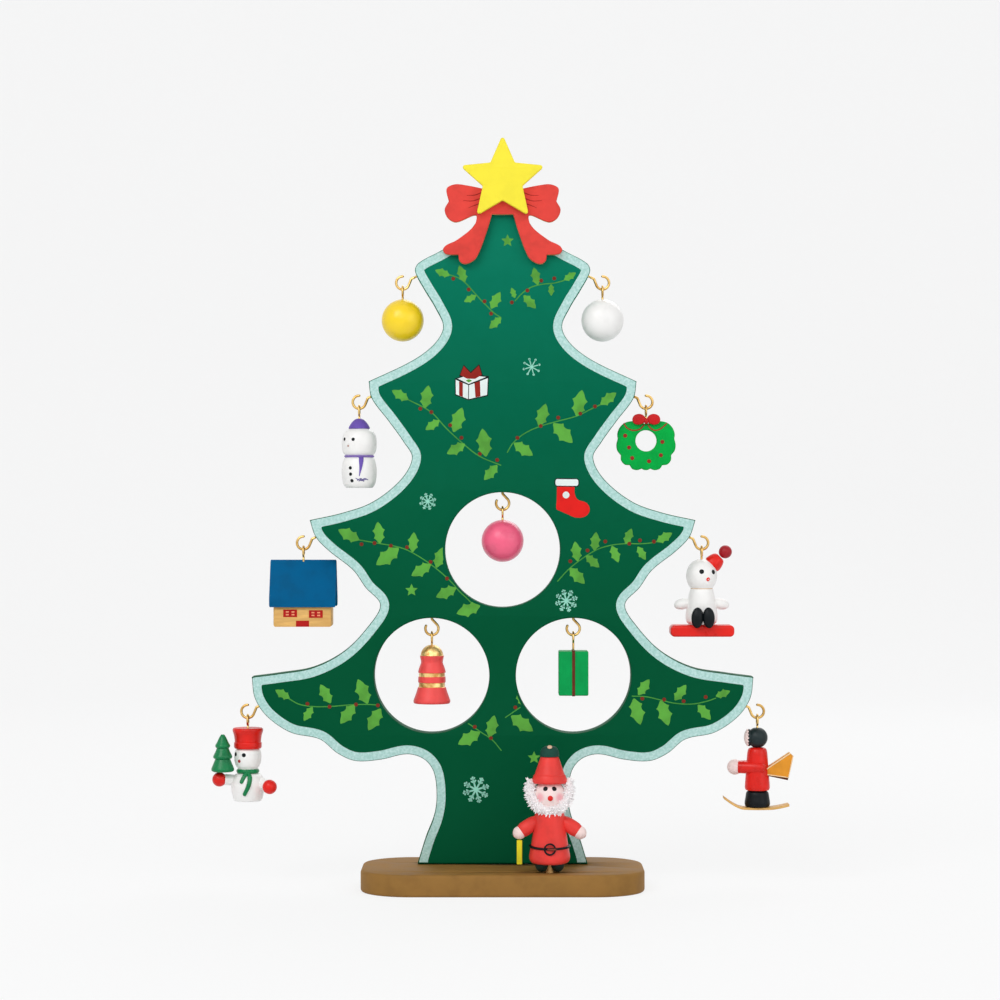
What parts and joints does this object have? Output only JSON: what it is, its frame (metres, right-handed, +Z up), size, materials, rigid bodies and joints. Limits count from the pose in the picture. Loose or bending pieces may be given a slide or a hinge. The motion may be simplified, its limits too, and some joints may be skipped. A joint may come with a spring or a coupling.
{
  "type": "wooden tree ornament display",
  "caption": "Flat painted wooden Christmas tree on a stand, with brass hooks carrying small wooden ornaments that swing and a pegged Santa figure.",
  "frame": {"origin": "middle of the stand's underside", "axes": "+Z up, +X to the right of someone who looks at the printed front, -Y out of the printed front"},
  "size_m": [0.241, 0.0611, 0.3086],
  "materials": {
    "stand_brown": "satin paint over wood",
    "natural_wood": "bare, lightly varnished wood",
    "board_green": "satin paint with a pale printed border and prints",
    "bow_red": "gloss paint over wood",
    "star_yellow": "gloss paint over wood",
    "brass_wire": "bright drawn wire",
    "yellow_paint": "gloss paint over wood",
    "white_paint": "satin paint over wood",
    "pink_paint": "gloss paint over wood",
    "red_paint": "gloss paint over wood",
    "black_paint": "gloss paint over wood",
    "purple_paint": "satin paint over wood",
    "gift_green": "gloss paint over wood",
    "ribbon_red": "satin paint over wood",
    "wreath_green": "gloss paint over wood",
    "roof_blue": "satin paint over wood",
    "scarf_green": "satin paint over wood",
    "skin_paint": "satin paint over wood",
    "gold_paint": "satin paint over wood",
    "dark_red_paint": "satin paint over wood",
    "pompom_green": "satin paint over wood",
    "stick_yellow": "satin paint over wood"
  },
  "bodies": {
    "stand": {"base_plate": "stand_brown", "dowel_left": "natural_wood", "dowel_right": "natural_wood"},
    "tree": {"tree_board": "board_green", "bow": "bow_red", "star": "star_yellow", "hook_left_1": "brass_wire", "hook_right_1": "brass_wire", "hook_left_2": "brass_wire", "hook_right_2": "brass_wire", "hook_left_3": "brass_wire", "hook_right_3": "brass_wire", "hook_left_4": "brass_wire", "hook_right_4": "brass_wire", "hook_hole_top": "brass_wire", "hook_hole_left": "brass_wire", "hook_hole_right": "brass_wire"},
    "yellow_ball": {"yellow_ball": "yellow_paint"},
    "white_ball": {"white_ball": "white_paint"},
    "pink_ball": {"pink_ball": "pink_paint"},
    "bell": {"bell": "red_paint"},
    "snowman": {"snowman_body": "white_paint", "snowman_hat": "purple_paint", "snowman_scarf": "purple_paint"},
    "gift": {"gift_box": "gift_green", "gift_ribbon": "ribbon_red"},
    "wreath": {"wreath": "wreath_green", "wreath_bow": "red_paint"},
    "house": {"house_roof": "roof_blue", "house_walls": "natural_wood"},
    "treeman": {"treeman_hat": "red_paint", "treeman_body": "white_paint", "treeman_scarf": "scarf_green", "treeman_arm_left": "white_paint", "treeman_arm_right": "white_paint", "treeman_little_tree": "scarf_green"},
    "soldier": {"soldier_head": "black_paint", "soldier_body": "red_paint", "soldier_arm": "red_paint", "soldier_boots": "black_paint", "soldier_pack": "gold_paint", "soldier_rocker": "natural_wood"},
    "doll": {"doll_body": "white_paint", "doll_arm_left": "white_paint", "doll_arm_right": "white_paint", "doll_boots": "black_paint", "doll_sled": "red_paint", "doll_cap": "red_paint", "doll_pompom": "dark_red_paint"},
    "santa": {"santa_peg": "natural_wood", "santa_boots": "black_paint", "santa_coat": "red_paint", "santa_belt": "black_paint", "santa_head": "skin_paint", "santa_beard": "white_paint", "santa_hat": "red_paint", "santa_pompom": "pompom_green", "santa_arm_left": "red_paint", "santa_arm_right": "red_paint", "santa_stick": "stick_yellow"}
  },
  "joints": [
    {"name": "tree_lift", "type": "slide", "parent": "stand", "child": "tree", "axis": [0, 0, 1], "range_m": [0, 0.012]},
    {"name": "santa_lift", "type": "slide", "parent": "stand", "child": "santa", "axis": [0, 0, 1], "range_m": [0, 0.009]},
    {"name": "yellow_ball_swing", "type": "hinge", "parent": "tree", "child": "yellow_ball", "pos_m": [-0.04148, 0.0095, 0.24714], "axis": [1, 0, 0], "range_deg": [-60, 60]},
    {"name": "white_ball_swing", "type": "hinge", "parent": "tree", "child": "white_ball", "pos_m": [0.04148, 0.0095, 0.24714], "axis": [1, 0, 0], "range_deg": [-60, 60]},
    {"name": "snowman_swing", "type": "hinge", "parent": "tree", "child": "snowman", "pos_m": [-0.05952, 0.0095, 0.19764], "axis": [1, 0, 0], "range_deg": [-60, 60]},
    {"name": "wreath_swing", "type": "hinge", "parent": "tree", "child": "wreath", "pos_m": [0.05952, 0.0095, 0.19764], "axis": [1, 0, 0], "range_deg": [-60, 60]},
    {"name": "house_swing", "type": "hinge", "parent": "tree", "child": "house", "pos_m": [-0.08265, 0.0095, 0.13918], "axis": [1, 0, 0], "range_deg": [-45, 45]},
    {"name": "doll_swing", "type": "hinge", "parent": "tree", "child": "doll", "pos_m": [0.08265, 0.0095, 0.13918], "axis": [1, 0, 0], "range_deg": [-60, 60]},
    {"name": "treeman_swing", "type": "hinge", "parent": "tree", "child": "treeman", "pos_m": [-0.10577, 0.0095, 0.06925], "axis": [1, 0, 0], "range_deg": [-60, 60]},
    {"name": "soldier_swing", "type": "hinge", "parent": "tree", "child": "soldier", "pos_m": [0.10577, 0.0095, 0.06925], "axis": [1, 0, 0], "range_deg": [-60, 60]},
    {"name": "pink_ball_swing", "type": "hinge", "parent": "tree", "child": "pink_ball", "pos_m": [0, 0.0095, 0.15563], "axis": [1, 0, 0], "range_deg": [-60, 60]},
    {"name": "bell_swing", "type": "hinge", "parent": "tree", "child": "bell", "pos_m": [-0.02935, 0.0095, 0.10361], "axis": [1, 0, 0], "range_deg": [-60, 60]},
    {"name": "gift_swing", "type": "hinge", "parent": "tree", "child": "gift", "pos_m": [0.02935, 0.0095, 0.10361], "axis": [1, 0, 0], "range_deg": [-60, 60]}
  ]
}
